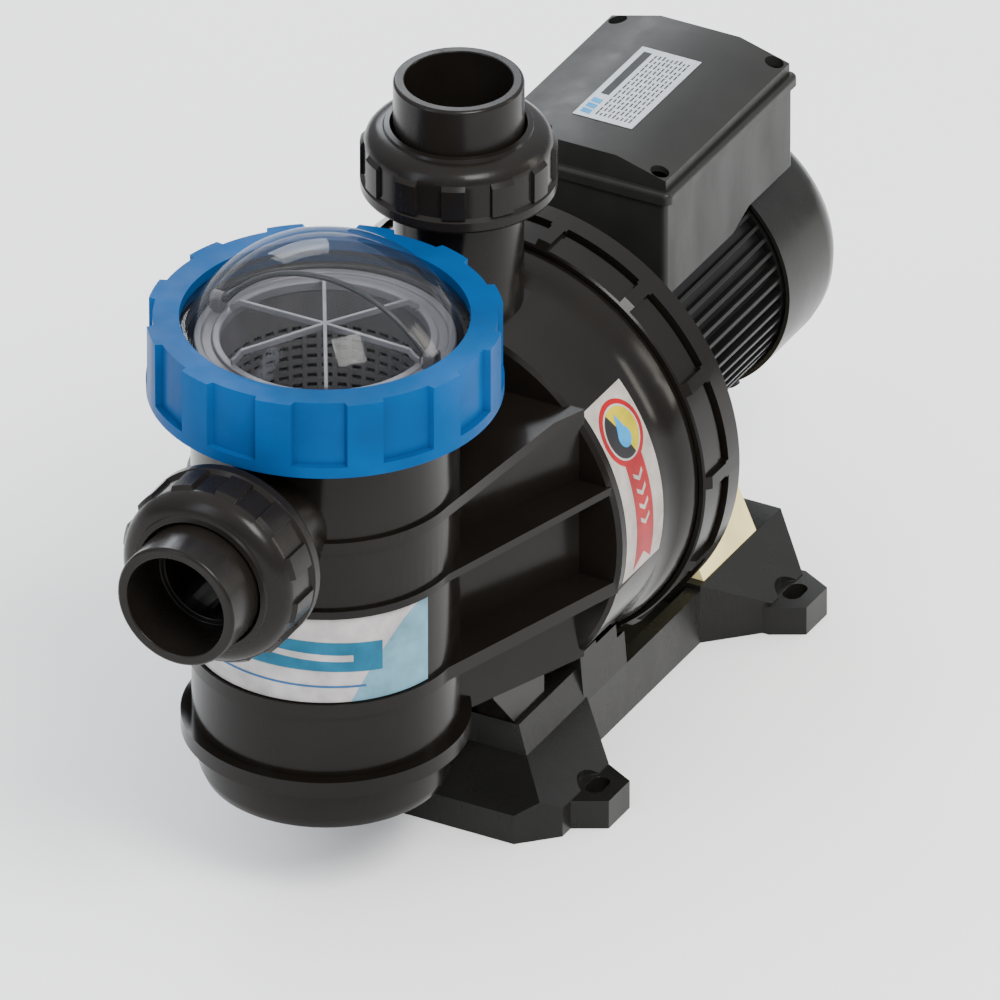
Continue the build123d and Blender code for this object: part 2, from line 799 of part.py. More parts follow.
def rear_endshield():
    corners = [
        (10, 152),
        (17.5, 152),
        (17.5, 141),
        (20.5, 141),
        (20.5, 148),
        (58.0, 148),
        (58.0, 154),
        (20, 157),
        (10, 157),
    ]
    shield = turned(SHAFT_PLANE, corners)
    for place in polar(SHAFT_PLANE, 4, TIE_ROD_CIRCLE_R, 45):
        shield -= place * Pos(0, 0, 152) * Cylinder(1.95, 12)
    for place in cover_screw_places():
        shield -= place * Cylinder(1.65, 20)
    return shield


def tie_rods():
    """Four rods that clamp the two endshields on the frame."""
    rods = []
    for place in polar(SHAFT_PLANE, 4, TIE_ROD_CIRCLE_R, 45):
        rod_and_nut = place * Pos(0, 0, 87.5) * Cylinder(1.9, 139)
        rod_and_nut += place * Pos(0, 0, 155.3) * extrude(RegularPolygon(3.6, 6), 3)
        rods.append(rod_and_nut)
    return rods


def cooling_fan():
    """Seven-blade fan behind the rear endshield."""
    fan = tube(SHAFT_PLANE, 14, SHAFT_R, 160, 176) + tube(SHAFT_PLANE, 47, 13, 160, 162)
    for place in polar(SHAFT_PLANE, 7, 31, 0):
        fan += place * Pos(0, 0, 168) * Box(36, 1.8, 15)
    return fan


def fan_cover():
    """Cowl over the fan with slots in its back."""
    x0, x1 = FAN_COVER_X
    r = FAN_COVER_R
    wall = 2.0
    corners = [
        (r - wall, x0),
        (r, x0),
        (r, x1 - 16),
        (r - 0.8, x1 - 10),
        (r - 3.4, x1 - 4.5),
        (r - 9, x1),
        (0, x1),
        (0, x1 - wall),
        (r - 10, x1 - wall),
        (r - wall - 3.2, x1 - 6),
        (r - wall, x1 - 14),
    ]
    cover = turned(SHAFT_PLANE, corners)
    for ring in range(4):
        inner = 12 + ring * 9.5
        for cut in pockets(SHAFT_PLANE, 6, 30, 48, inner, inner + 5, x1 - 4, x1 + 1):
            cover -= cut
    for place in cover_screw_places():
        cover -= place * Cylinder(1.65, 20)
    return cover


def cover_screw_places():
    """Three radial screws near the front edge of the fan cover."""
    turns = (-60, -120, 30)
    return [SHAFT_PLANE * Rot(0, 0, turn) * Pos(FAN_COVER_R, 0, 151.3) * Rot(0, 90, 0) for turn in turns]


def fan_cover_screws():
    return [place * Pos(0, 0, 0.1) * head_screw(6, 1.6, 3.0, 2.0) for place in cover_screw_places()]


# ---------------------------------------------------------------- terminal box


def terminal_box():
    """Open box with a saddle floor that follows the motor."""
    x0, x1 = BOX_X
    shell = box((x0 + 1.5, x1 - 1.5), (-BOX_HALF, BOX_HALF), (BOX_LOW_Z, BOX_RIM_Z))
    shell = fillet(shell.edges().filter_by(Axis.Z), 3)
    half = BOX_HALF - BOX_WALL
    inside = box((x0 + 4.5, x1 - 4.5), (-half, half), (BOX_LOW_Z, BOX_RIM_Z + 1))
    shell -= rod(SHAFT_PLANE, BOX_SADDLE_R, x0 - 5, x1 + 5)
    inside -= rod(SHAFT_PLANE, BOX_SADDLE_R + BOX_WALL, x0 - 5, x1 + 5)
    inside -= box((x0, x1), (-60, 60), (BOX_LOW_Z - 1, BOX_LOW_Z + BOX_WALL))
    shell -= rear_relief(0)
    inside -= rear_relief(BOX_WALL)
    shell -= inside
    for place in box_screw_places():
        boss = place * Pos(0, 0, -8) * Cylinder(4.2, 16)
        shell += boss
        shell -= place * Pos(0, 0, -6) * Cylinder(1.8, 14)
    shell -= rod(gland_plane(), 8.2, -20, 5)
    shell -= box((91, 103), (-6, 6), (SHAFT_Z + 50, SHAFT_Z + 70))
    return shell


def rear_relief(offset):
    """Step in the box's underside that clears the fan cover."""
    top = BOX_LOW_Z + 6.7 + offset
    outline = [(120 - offset, BOX_LOW_Z - 9), (190, BOX_LOW_Z - 9), (190, top), (136 - offset, top)]
    outline += [(126 - offset, top - 4), (120 - offset, BOX_LOW_Z - 0.1 + offset)]
    return prism(Plane.XZ, outline, -60, 60)


def box_screw_places():
    x0, x1 = BOX_X
    return [Pos(x, y, BOX_RIM_Z) for x in (x0 + 8, x1 - 8) for y in (-41.0, 41.0)]


def box_gasket():
    x0, x1 = BOX_X
    outer = box((x0 + 1.5, x1 - 1.5), (-BOX_HALF, BOX_HALF), (BOX_RIM_Z, BOX_RIM_Z + 1.2))
    outer = fillet(outer.edges().filter_by(Axis.Z), 3)
    gasket = outer - box((x0 + 4.5, x1 - 4.5), (-BOX_HALF + 3, BOX_HALF - 3), (BOX_RIM_Z - 1, BOX_RIM_Z + 3))
    return gasket


def box_lid():
    """Lid with a rounded rim and a three-facet crown set in from it, notched at the screws."""
    x0, x1 = BOX_X
    low = BOX_RIM_Z + 1.2
    rim = box((x0, x1), (-LID_HALF, LID_HALF), (low, LID_RIM_Z))
    rim = fillet(rim.edges().filter_by(Axis.Z), 4)
    rim = fillet(rim.edges().group_by(Axis.Z)[-1], 2.2)
    side = LID_HALF - LID_INSET
    crown = prism(SECTION_PLANE, crown_outline(side, 0), x0 + LID_INSET, x1 - LID_INSET)
    lid = rim + crown
    lid -= prism(SECTION_PLANE, crown_outline(side - 3, 2.6), x0 + 7.5, x1 - 7.5)
    lid -= box((x0 + 7.5, x1 - 7.5), (-side + 3, side - 3), (low - 1, LID_RIM_Z))
    for place in box_screw_places():
        lid += place * Pos(0, 0, (LID_RIM_Z - BOX_RIM_Z + 1.2) / 2) * Box(11, 13, LID_RIM_Z - low)
        lid -= place * Pos(0, 0, LID_RIM_Z - BOX_RIM_Z + 10) * Cylinder(4.4, 20)
        lid -= place * Cylinder(1.9, 40)
    for y in (-24.0, 24.0):
        lid += box((x1 - 3, x1 + 4.5), (y - 9, y + 9), (low + 1.5, low + 4.5))
    return lid


def crown_outline(side, wall):
    """Section of the lid's crown, wall deep below its outside."""
    eave = LID_EAVE_Z - wall
    top = LID_TOP_Z - wall
    return [
        (-side, LID_RIM_Z - 2),
        (side, LID_RIM_Z - 2),
        (side, eave),
        (LID_FLAT_HALF, top),
        (-LID_FLAT_HALF, top),
        (-side, eave),
    ]


def box_lid_screws():
    screw = Pos(0, 0, LID_RIM_Z - BOX_RIM_Z) * head_screw(16, 1.75, 3.4, 2.6)
    return [place * screw for place in box_screw_places()]


def terminal_block():
    block = box((70, 112), (-9, 9), (SHAFT_Z + 65.8, SHAFT_Z + 78))
    for x in (77, 91, 105):
        block -= Pos(x, 0, SHAFT_Z + 77) * Cylinder(3.0, 8)
    return block


def start_capacitor():
    plane = Plane(origin=(0, 0, SHAFT_Z + 81), x_dir=(0, 1, 0), z_dir=(1, 0, 0))
    can = rod(plane, 15, 118, 170)
    can += rod(plane, 3, 113, 118.5)
    return can


def gland_plane():
    """Cable inlet on the far side of the terminal box."""
    return Plane(origin=(70, BOX_HALF, 211), x_dir=(1, 0, 0), z_dir=(0, 1, 0))


def cable_gland():
    """Empty cable gland: threaded body, hexagon and dome nut with its opening."""
    plane = gland_plane()
    gland = rod(plane, 8.0, -8, 1)
    gland += plane * extrude(RegularPolygon(12, 6), 5)
    gland += turned(plane, [(0, 5), (10.5, 5), (10.5, 11), (8.5, 15), (0, 15)])
    return gland - rod(plane, 4.5, -10, 20)


# ---------------------------------------------------------------- labels


def pot_label():
    band = tube(pot_plane(), POT_R + 0.35, POT_R, 118.6, 163.2)
    return band & sector(pot_plane(), 180, 154.8, 75, 118, 164)


def seal_label():
    """Curved panel on the casing belt, on the -Y side."""
    band = tube(SHAFT_PLANE, BELT_R + 0.35, BELT_R, -80, -44.5)
    return band & sector(SHAFT_PLANE, 180 - 13.8, 52.8, 110, -80, -44.5)


def name_plate():
    """Thin metal plate on the flat of the terminal box lid."""
    return box((79.0, 147.8), (-16.2, 14.8), (LID_TOP_Z, LID_TOP_Z + 0.4))


def main():
    save("base_support", base_support())
    save("body_base_screws", body_base_screws())
    save("motor_pedestal", motor_pedestal())
    save("pump_body", pump_body())
    save("casing_clamp_ring", clamp_ring())
    save("casing_o_ring", casing_o_ring())
    save("seal_plate", seal_plate())
    save("diffuser", diffuser())
    save("impeller", impeller())
    save("impeller_nut", impeller_nut())
    save("shaft_seal_seat", seal_seat())
    save("shaft_seal_head", seal_head())
    save("shaft_seal_spring", seal_spring())
    save("lid_dome", lid_dome())
    save("lid_o_ring", lid_o_ring())
    save("lock_ring", lock_ring())
    save("strainer_basket", strainer_basket())
    save("basket_handle", basket_handle())
    save("suction_tailpiece", union_tailpiece(SUCTION_PLANE))
    save("suction_union_nut", union_nut(SUCTION_PLANE, 4))
    save("suction_o_ring", union_o_ring(SUCTION_PLANE))
    save("discharge_tailpiece", union_tailpiece(DISCHARGE_PLANE))
    save("discharge_union_nut", union_nut(DISCHARGE_PLANE, 10))
    save("discharge_o_ring", union_o_ring(DISCHARGE_PLANE))
    save("drain_plug", drain_plug())
    save("drain_o_ring", drain_o_ring())
    save("motor_shaft", motor_shaft())
    save("rotor_core", rotor_core())
    save("stator_core", stator_core())
    save("stator_windings", stator_windings())
    save("front_bearing", bearing(15.5, 26.5))
    save("rear_bearing", bearing(141, 152))
    save("motor_frame", motor_frame())
    save("front_endshield", front_endshield())
    save("rear_endshield", rear_endshield())
    save("motor_tie_rods", Compound(children=tie_rods()))
    save("cooling_fan", cooling_fan())
    save("fan_cover", fan_cover())
    save("fan_cover_screws", Compound(children=fan_cover_screws()))
    save("terminal_box", terminal_box())
    save("terminal_box_gasket", box_gasket())
    save("terminal_box_lid", box_lid())
    save("terminal_lid_screws", Compound(children=box_lid_screws()))
    save("terminal_block", terminal_block())
    save("start_capacitor", start_capacitor())
    save("cable_gland", cable_gland())
    save("pot_label", pot_label())
    save("casing_label", seal_label())
    save("name_plate", name_plate())


main()
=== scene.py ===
"""Looks of the pool pump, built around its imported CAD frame. Lengths are in metres unless a name says MM."""

import json
import math

import bmesh
import bpy
from mathutils import Matrix, Vector

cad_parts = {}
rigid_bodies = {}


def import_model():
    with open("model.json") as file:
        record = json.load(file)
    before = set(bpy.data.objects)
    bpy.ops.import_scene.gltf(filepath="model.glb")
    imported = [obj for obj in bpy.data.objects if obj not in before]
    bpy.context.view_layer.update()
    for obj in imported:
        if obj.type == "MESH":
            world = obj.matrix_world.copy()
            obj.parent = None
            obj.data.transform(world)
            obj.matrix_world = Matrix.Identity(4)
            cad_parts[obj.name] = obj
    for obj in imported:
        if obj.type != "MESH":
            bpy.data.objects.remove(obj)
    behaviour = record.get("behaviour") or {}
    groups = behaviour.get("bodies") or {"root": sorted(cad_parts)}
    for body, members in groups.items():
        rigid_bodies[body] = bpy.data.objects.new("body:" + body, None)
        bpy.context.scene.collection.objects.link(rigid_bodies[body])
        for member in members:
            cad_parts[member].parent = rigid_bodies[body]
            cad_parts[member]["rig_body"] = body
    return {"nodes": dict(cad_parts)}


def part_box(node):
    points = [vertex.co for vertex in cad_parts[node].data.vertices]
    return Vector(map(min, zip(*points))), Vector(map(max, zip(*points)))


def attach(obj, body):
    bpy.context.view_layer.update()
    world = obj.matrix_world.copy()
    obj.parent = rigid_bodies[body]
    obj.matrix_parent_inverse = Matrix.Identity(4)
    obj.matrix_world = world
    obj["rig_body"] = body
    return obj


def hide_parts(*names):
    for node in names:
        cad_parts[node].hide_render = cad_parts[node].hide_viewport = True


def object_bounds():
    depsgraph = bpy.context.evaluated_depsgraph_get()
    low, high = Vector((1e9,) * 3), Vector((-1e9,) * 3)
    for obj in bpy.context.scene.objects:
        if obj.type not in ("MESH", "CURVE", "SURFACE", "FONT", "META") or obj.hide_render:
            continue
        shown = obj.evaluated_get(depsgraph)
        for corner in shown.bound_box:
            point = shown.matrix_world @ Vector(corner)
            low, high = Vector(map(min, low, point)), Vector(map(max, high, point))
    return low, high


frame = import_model()
cad_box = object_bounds()
MM = 0.001


# ---------------------------------------------------------------- places taken from the frame


def middle(node):
    low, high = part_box(node)
    return (low + high) / 2


pot = middle("lock_ring")
shaft = middle("casing_clamp_ring")
discharge = middle("discharge_union_nut")
suction = middle("suction_union_nut")

TO_X = Matrix(((0, 0, 1), (1, 0, 0), (0, 1, 0)))
TO_MINUS_X = Matrix(((0, 0, -1), (0, 1, 0), (1, 0, 0)))
UP = Matrix.Identity(3)


# ---------------------------------------------------------------- node helpers


def new_material(name):
    material = bpy.data.materials.new(name)
    material.use_nodes = True
    tree = material.node_tree
    return material, tree, tree.nodes["Principled BSDF"]


def add(tree, kind, **settings):
    """One shader node; inputs are given by name, other settings as attributes."""
    node = tree.nodes.new(kind)
    for key, value in settings.items():
        if key in node.inputs:
            node.inputs[key].default_value = value
        else:
            setattr(node, key, value)
    return node


def link(tree, source, target):
    tree.links.new(source, target)


def place(tree, scale=(1, 1, 1)):
    """Object coordinates, stretched by scale."""
    coords = add(tree, "ShaderNodeTexCoord")
    mapping = add(tree, "ShaderNodeMapping")
    mapping.inputs["Scale"].default_value = scale
    link(tree, coords.outputs["Object"], mapping.inputs["Vector"])
    return mapping.outputs["Vector"]


def noise(tree, where, scale, detail=3.0, roughness=0.5):
    texture = add(tree, "ShaderNodeTexNoise", Scale=scale, Detail=detail, Roughness=roughness)
    link(tree, where, texture.inputs["Vector"])
    return texture.outputs["Fac"]


def ramp(tree, value, stops):
    """Colour ramp from (position, colour) stops."""
    node = add(tree, "ShaderNodeValToRGB")
    elements = node.color_ramp.elements
    while len(elements) < len(stops):
        elements.new(0.5)
    for element, (position, colour) in zip(elements, stops):
        element.position = position
        element.color = (*colour, 1.0)
    link(tree, value, node.inputs["Fac"])
    return node.outputs["Color"]


def spread(tree, value, low, high):
    """Maps the middle part of a noise value to the range low..high."""
    node = add(tree, "ShaderNodeMapRange")
    node.inputs["From Min"].default_value = 0.3
    node.inputs["From Max"].default_value = 0.7
    node.inputs["To Min"].default_value = low
    node.inputs["To Max"].default_value = high
    link(tree, value, node.inputs["Value"])
    return node.outputs["Result"]


def bump(tree, shader, height, strength, distance):
    node = add(tree, "ShaderNodeBump", Strength=strength, Distance=distance)
    link(tree, height, node.inputs["Height"])
    link(tree, node.outputs["Normal"], shader.inputs["Normal"])


def tint(colour, factor):
    return tuple(min(1.0, channel * factor) for channel in colour)


# ---------------------------------------------------------------- materials


def moulded(name, colour, rough, grain_scale, grain, flow, sheen=0.5):
    """Moulded plastic: faint flow clouding, a fine moulded grain and uneven gloss."""
    material, tree, shader = new_material(name)
    where = place(tree)
    clouds = noise(tree, where, flow, 4.0)
    shades = ramp(tree, clouds, [(0.30, tint(colour, 0.80)), (0.70, tint(colour, 1.25))])
    link(tree, shades, shader.inputs["Base Color"])
    streaks = noise(tree, place(tree, (1.0, 1.0, 0.25)), 60.0, 5.0, 0.6)
    link(tree, spread(tree, streaks, rough * 0.80, rough * 1.25), shader.inputs["Roughness"])
    bump(tree, shader, noise(tree, where, grain_scale, 2.0), grain, 0.2 * MM)
    shader.inputs["Specular IOR Level"].default_value = sheen
    return material


def brushed(name, colour, rough, axis_scale, metallic=1.0):
    """Metal with a drawn or turned grain along one axis."""
    material, tree, shader = new_material(name)
    lines = noise(tree, place(tree, axis_scale), 220.0, 4.0, 0.65)
    shades = ramp(tree, lines, [(0.3, tint(colour, 0.78)), (0.7, tint(colour, 1.12))])
    link(tree, shades, shader.inputs["Base Color"])
    link(tree, spread(tree, lines, rough * 0.75, rough * 1.3), shader.inputs["Roughness"])
    bump(tree, shader, lines, 0.15, 0.1 * MM)
    shader.inputs["Metallic"].default_value = metallic
    return material


def clear_material():
    """Clear polycarbonate: see-through in the middle, brighter and denser towards its edges."""
    material, tree, shader = new_material("clear_polycarbonate")
    shader.inputs["Base Color"].default_value = (0.030, 0.032, 0.035, 1.0)
    shader.inputs["Roughness"].default_value = 0.03
    shader.inputs["IOR"].default_value = 1.58
    shader.inputs["Specular IOR Level"].default_value = 1.0
    edge = add(tree, "ShaderNodeLayerWeight", Blend=0.22)
    haze = noise(tree, place(tree), 45.0, 3.0)
    thickness = add(tree, "ShaderNodeMath", operation="MULTIPLY_ADD")
    link(tree, edge.outputs["Facing"], thickness.inputs[0])
    thickness.inputs[1].default_value = 0.42
    link(tree, spread(tree, haze, 0.030, 0.045), thickness.inputs[2])
    link(tree, thickness.outputs["Value"], shader.inputs["Alpha"])
    return material


def laminated_material():
    """Stack of thin steel sheets."""
    material, tree, shader = new_material("laminated_steel")
    wave = add(tree, "ShaderNodeTexWave", Scale=320.0, Distortion=0.4)
    wave.bands_direction = "X"
    link(tree, place(tree), wave.inputs["Vector"])
    shades = ramp(tree, wave.outputs["Fac"], [(0.2, (0.05, 0.05, 0.055)), (0.8, (0.22, 0.22, 0.23))])
    link(tree, shades, shader.inputs["Base Color"])
    shader.inputs["Metallic"].default_value = 0.8
    shader.inputs["Roughness"].default_value = 0.45
    bump(tree, shader, wave.outputs["Fac"], 0.4, 0.2 * MM)
    return material


def printed(name, colour):
    """Ink on film: slight mottling and a satin sheen."""
    return moulded(name, colour, 0.32, 1600.0, 0.02, 90.0, 0.15)


BLACK = moulded("black_moulded", (0.0060, 0.0048, 0.0038), 0.18, 700.0, 0.02, 18.0, 0.13)
BLACK_FITTING = moulded("black_fitting", (0.0075, 0.0062, 0.0052), 0.24, 900.0, 0.04, 24.0, 0.13)
BASE = moulded("base_moulded", (0.0085, 0.0084, 0.0074), 0.28, 800.0, 0.05, 22.0, 0.16)
MOTOR = moulded("motor_paint", (0.0060, 0.0060, 0.0058), 0.32, 420.0, 0.08, 30.0, 0.16)
BOX = moulded("box_moulded", (0.0130, 0.0132, 0.0118), 0.38, 1100.0, 0.05, 24.0, 0.16)
COVER = moulded("cover_moulded", (0.0090, 0.0090, 0.0076), 0.26, 900.0, 0.04, 24.0, 0.18)
BLUE = moulded("blue_moulded", (0.0, 0.052, 0.175), 0.40, 800.0, 0.02, 20.0, 0.05)
PALE = moulded("pale_moulded", (0.72, 0.62, 0.27), 0.40, 700.0, 0.06, 22.0, 0.3)
BASKET = moulded("basket_moulded", (0.060, 0.058, 0.064), 0.42, 900.0, 0.10, 30.0, 0.5)
WHEEL = moulded("glass_filled", (0.30, 0.31, 0.27), 0.50, 600.0, 0.25, 40.0)
# Lighter copy of the basket grey, used on its rim and spokes: painted light on the upward-facing parts of the
# one-piece basket.
BASKET_PAINTED_LIT = moulded("basket_painted_lit_copy", (0.105, 0.105, 0.118), 0.40, 900.0, 0.06, 30.0, 0.5)
HANDLE = moulded("handle_moulded", (0.010, 0.012, 0.014), 0.35, 900.0, 0.06, 30.0, 0.3)
CERAMIC = moulded("ceramic", (0.62, 0.60, 0.55), 0.30, 900.0, 0.05, 60.0)
RUBBER = moulded("rubber", (0.012, 0.012, 0.012), 0.55, 1400.0, 0.25, 40.0)
CLEAR = clear_material()
STEEL = brushed("steel", (0.55, 0.55, 0.56), 0.30, (0.3, 1.0, 1.0))
BLACKENED = brushed("blackened_steel", (0.035, 0.035, 0.037), 0.34, (0.3, 1.0, 1.0))
PLATE = brushed("silver_plate", (0.36, 0.38, 0.40), 0.36, (0.25, 4.0, 1.0), 0.6)
COPPER = brushed("copper_wire", (0.70, 0.30, 0.13), 0.32, (3.0, 1.0, 1.0))
LAMINATED = laminated_material()
WHITE_INK = printed("white_ink", (0.31, 0.295, 0.29))
TEAL_INK = printed("teal_ink", (0.004, 0.085, 0.150))
MIST_INK = printed("mist_ink", (0.10, 0.21, 0.26))
NAVY_INK = printed("navy_ink", (0.015, 0.07, 0.17))
RED_INK = printed("red_ink", (0.24, 0.0005, 0.004))
YELLOW_INK = printed("yellow_ink", (0.36, 0.29, 0.001))
BLACK_INK = printed("black_ink", (0.010, 0.010, 0.012))
CREAM_INK = printed("cream_ink", (0.30, 0.27, 0.24))
SKY_INK = printed("sky_ink", (0.01, 0.20, 0.42))


# ---------------------------------------------------------------- mesh helpers


def show(name, mesh, material, body, stands_for=()):
    """Link a mesh as one piece of the object, riding on its body."""
    piece = bpy.data.objects.new(name, mesh)
    bpy.context.scene.collection.objects.link(piece)
    mesh.materials.clear()
    mesh.materials.append(material)
    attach(piece, body)
    if stands_for:
        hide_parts(*stands_for)
    return piece


def rounded(piece, width, segments=2, angle=34.0):
    """Small real radius on every sharp edge, with even shading."""
    bevel = piece.modifiers.new("edge_radius", "BEVEL")
    bevel.width = width
    bevel.segments = segments
    bevel.limit_method = "ANGLE"
    bevel.angle_limit = math.radians(angle)
    bevel.use_clamp_overlap = True
    bevel.miter_outer = "MITER_ARC"
    normals = piece.modifiers.new("even_shading", "WEIGHTED_NORMAL")
    normals.keep_sharp = True


def smooth(mesh):
    for polygon in mesh.polygons:
        polygon.use_smooth = True
    mesh.set_sharp_from_angle(angle=math.radians(34.0))


def mesh_from(work, name):
    """Mesh made from a finished bmesh, which is then freed."""
    mesh = bpy.data.meshes.new(name)
    work.to_mesh(mesh)
    work.free()
    return mesh


def prism(work, first, second):
    """Close two matching outlines into one solid."""
    first = [work.verts.new(point) for point in first]
    second = [work.verts.new(point) for point in second]
    work.faces.new(first[::-1])
    work.faces.new(second)
    for k in range(len(first)):
        step = (k + 1) % len(first)
        work.faces.new((first[k], first[step], second[step], second[k]))


def refined(node, material, width):
    """Copy of a CAD node with flat faces merged and sharp edges rounded."""
    source = frame["nodes"][node]
    work = bmesh.new()
    work.from_mesh(source.data)
    bmesh.ops.remove_doubles(work, verts=work.verts, dist=2e-6)
    flat = math.radians(0.6)
    bmesh.ops.dissolve_limit(work, angle_limit=flat, verts=work.verts, edges=work.edges, delimit=set())
    mesh = mesh_from(work, node + "_looks")
    smooth(mesh)
    piece = show(node + "_looks", mesh, material, source["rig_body"], (node,))
    rounded(piece, width)


def finish_node(node, material):
    """Give a CAD node that keeps its own mesh its material."""
    mesh = frame["nodes"][node].data
    mesh.materials.clear()
    mesh.materials.append(material)
    smooth(mesh)


def ring_mesh(name, rows, columns, centre, turn):
    """Closed ring: each row maps a column's angle to (radius, height)."""
    work = bmesh.new()
    loops = []
    for angle in columns:
        loop = []
        for row in rows:
            radius, height = row(angle)
            local = Vector((radius * math.cos(angle), radius * math.sin(angle), height))
            loop.append(work.verts.new(centre + turn @ local))
        loops.append(loop)
    count = len(rows)
    for k, loop in enumerate(loops):
        after = loops[(k + 1) % len(loops)]
        for j in range(count):
            step = (j + 1) % count
            work.faces.new((loop[j], after[j], after[step], loop[step]))
    bmesh.ops.recalc_face_normals(work, faces=work.faces)
    mesh = mesh_from(work, name)
    smooth(mesh)
    return mesh


def even_columns(count):
    return [math.tau * k / count for k in range(count)]


def grip_columns(count, phase, recess_width, steps):
    """Angles round a grip ring, doubled up at each recess wall."""
    pitch = math.tau / count
    wall = math.radians(0.35)
    angles = []
    for k in range(count):
        start = phase + k * pitch - recess_width / 2
        end = start + recess_width
        angles += [start - wall, start + wall]
        angles += [start + wall + (recess_width - 2 * wall) * i / steps for i in range(1, steps)]
        angles += [end - wall, end + wall]
        rest = pitch - recess_width - 2 * wall
        angles += [end + wall + rest * i / steps for i in range(1, steps)]
    return angles


def in_recess(angle, count, phase, recess_width):
    """Whether an angle falls in one of the recesses between the grips."""
    pitch = math.tau / count
    offset = (angle - phase + pitch / 2) % pitch - pitch / 2
    return abs(offset) < recess_width / 2


# ---------------------------------------------------------------- camera, floor and light

VIEW_AZIMUTH = math.radians(-61.8)
VIEW_ELEVATION = math.radians(31.1)
VIEW_WIDTH = 0.45956
VIEW_DISTANCE = 18.0
VIEW_RIGHT = -0.00912
VIEW_UP = 0.0766
VIEW_DEPTH = -0.127
SENSOR = 36.0
FAR_CLIP = 60.0
FLOOR_HALF = 12.0
FLOOR_GAP = 0.2 * MM


def camera():
    """Long lens at the view's angle; right, up and depth shift the point it looks at."""
    cos_e, sin_e = math.cos(VIEW_ELEVATION), math.sin(VIEW_ELEVATION)
    cos_a, sin_a = math.cos(VIEW_AZIMUTH), math.sin(VIEW_AZIMUTH)
    forward = Vector((-sin_a * cos_e, cos_a * cos_e, -sin_e))
    right = Vector((cos_a, sin_a, 0))
    up = right.cross(forward)
    target = right * VIEW_RIGHT + up * VIEW_UP + forward * VIEW_DEPTH
    data = bpy.data.cameras.new("camera")
    data.sensor_width = SENSOR
    data.lens = SENSOR * VIEW_DISTANCE / VIEW_WIDTH
    data.clip_end = FAR_CLIP
    view = bpy.data.objects.new("camera", data)
    view.location = target - forward * VIEW_DISTANCE
    view.rotation_mode = "QUATERNION"
    view.rotation_quaternion = forward.to_track_quat("-Z", "Y")
    bpy.context.scene.collection.objects.link(view)
    bpy.context.scene.camera = view


def floor():
    """Plain pale floor that the base stands on."""
    mesh = bpy.data.meshes.new("floor")
    low = cad_box[0].z - FLOOR_GAP
    corners = [(x * FLOOR_HALF, y * FLOOR_HALF, low) for x, y in ((-1, -1), (1, -1), (1, 1), (-1, 1))]
    mesh.from_pydata(corners, [], [(0, 1, 2, 3)])
    ground = bpy.data.objects.new("floor", mesh)
    bpy.context.scene.collection.objects.link(ground)
    material, tree, shader = new_material("floor_paint")
    clouds = noise(tree, place(tree), 2.0)
    shades = ramp(tree, clouds, [(0.3, (0.93, 0.93, 0.93)), (0.7, (0.96, 0.96, 0.96))])
    link(tree, shades, shader.inputs["Base Color"])
    shader.inputs["Roughness"].default_value = 0.9
    shader.inputs["Specular IOR Level"].default_value = 0.1
    mesh.materials.append(material)


def soft_light(name, location, aim, size, power, colour):
    """Rectangular lamp turned to face its aim."""
    data = bpy.data.lights.new(name, "AREA")
    data.shape = "RECTANGLE"
    data.size, data.size_y = size
    data.energy = power
    data.color = colour
    lamp = bpy.data.objects.new(name, data)
    lamp.location = location
    lamp.rotation_mode = "QUATERNION"
    lamp.rotation_quaternion = (Vector(aim) - Vector(location)).to_track_quat("-Z", "Y")
    bpy.context.scene.collection.objects.link(lamp)


def lights():
    """Bright room that darkens towards the ground, and four soft lamps."""
    world = bpy.data.worlds.new("studio")
    bpy.context.scene.world = world
    world.use_nodes = True
    backdrop = world.node_tree.nodes["Background"]
    tree = world.node_tree
    sky = add(tree, "ShaderNodeTexCoord")
    height = add(tree, "ShaderNodeSeparateXYZ")
    link(tree, sky.outputs["Generated"], height.inputs["Vector"])
    stops = [(0.0, (0.30, 0.31, 0.34)), (0.35, (0.62, 0.64, 0.70)), (0.80, (1.0, 1.0, 1.0))]
    link(tree, ramp(tree, height.outputs["Z"], stops), backdrop.inputs["Color"])
    backdrop.inputs["Strength"].default_value = 1.9
    soft_light("key", (-1.3, -1.7, 2.6), (0, 0, 0.1), (1.2, 1.2), 120.0, (1.0, 0.99, 0.97))
    soft_light("fill", (-2.2, 0.9, 1.3), (0, 0, 0.15), (0.5, 1.6), 16.0, (0.80, 0.88, 1.0))
    soft_light("rim", (1.7, 1.5, 1.5), (0, 0, 0.15), (1.0, 0.8), 26.0, (0.90, 0.95, 1.0))
    soft_light("right", (1.3, -1.9, 0.9), (0, 0, 0.1), (0.35, 1.2), 14.0, (1.0, 0.94, 0.84))


# ---------------------------------------------------------------- lock ring and union nuts

LOBES = 12
LOBE_PHASE = math.radians(26.5)
LOBE_RECESS = math.radians(17.5)
RECESS_DEPTH = 3.2 * MM
RECESS_FLOOR = 5.5 * MM
RING_LIP_RADIUS = 66.5 * MM
RING_BORE = 72.0 * MM
RING_LEDGE = 5.8 * MM


